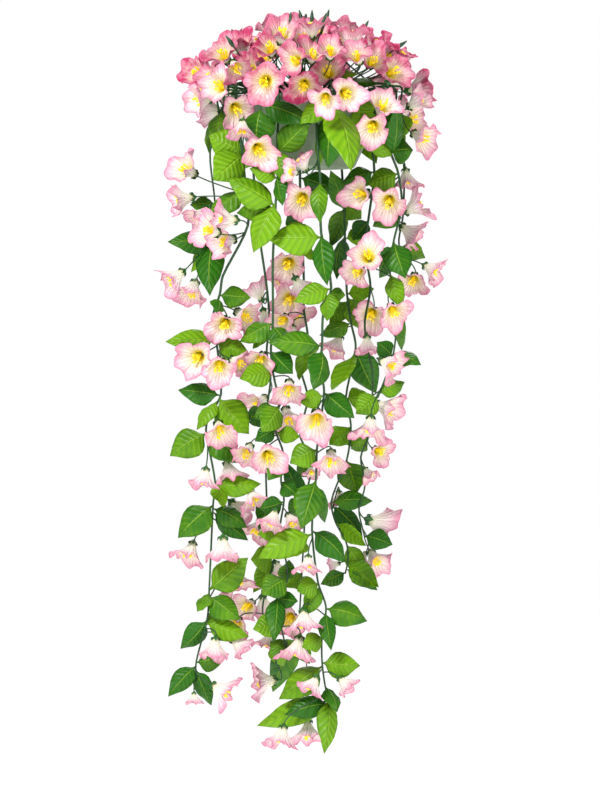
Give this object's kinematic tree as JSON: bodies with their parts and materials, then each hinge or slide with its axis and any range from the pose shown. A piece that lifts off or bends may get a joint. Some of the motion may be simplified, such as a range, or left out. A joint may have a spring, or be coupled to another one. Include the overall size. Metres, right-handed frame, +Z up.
{
  "type": "petunia hanging basket",
  "caption": "Hanging pot on a ring and wires, filled with a dense head of ruffled trumpet blooms and with long leafy flowering vines that trail down all round.",
  "frame": {"origin": "the seat at the inside top of the ring, where a hook carries the basket", "axes": "+Z up through the pot's axis and the ring, +X to the right and -Y to the front as seen in the picture"},
  "size_m": [0.3611, 0.3744, 0.9281],
  "materials": {
    "pot": "satin moulded grey-green",
    "soil": "crumbly dark potting mix",
    "wire": "dark green coated wire",
    "foliage": "satin leaf green, with pink blooms",
    "blooms": "soft satin pink with a white throat"
  },
  "bodies": {
    "root": {"pot": "pot", "soil": "soil", "ring": "wire", "hanger_wire_1": "wire", "hanger_wire_2": "wire", "hanger_wire_3": "wire", "vine_far_left": "foliage", "vine_left": "foliage", "vine_left_front": "foliage", "vine_left_back": "foliage", "vine_centre_front": "foliage", "vine_centre_back": "foliage", "vine_right_front": "foliage", "vine_right_inner": "foliage", "vine_right_back": "foliage", "vine_far_right": "foliage", "shoot_left": "foliage", "shoot_front_left": "foliage", "shoot_front": "foliage", "shoot_right": "foliage", "shoot_far_right": "foliage", "head_spray_1": "blooms", "head_spray_2": "blooms", "head_spray_3": "blooms", "head_spray_4": "blooms", "head_spray_5": "blooms", "head_spray_6": "blooms", "head_spray_7": "blooms", "head_spray_8": "blooms", "head_back_spray_1": "blooms", "head_back_spray_2": "blooms", "head_back_spray_3": "blooms", "head_back_spray_4": "blooms", "back_shoot_1": "foliage", "back_shoot_2": "foliage", "back_shoot_3": "foliage", "back_shoot_4": "foliage", "back_shoot_5": "foliage"}
  },
  "joints": []
}
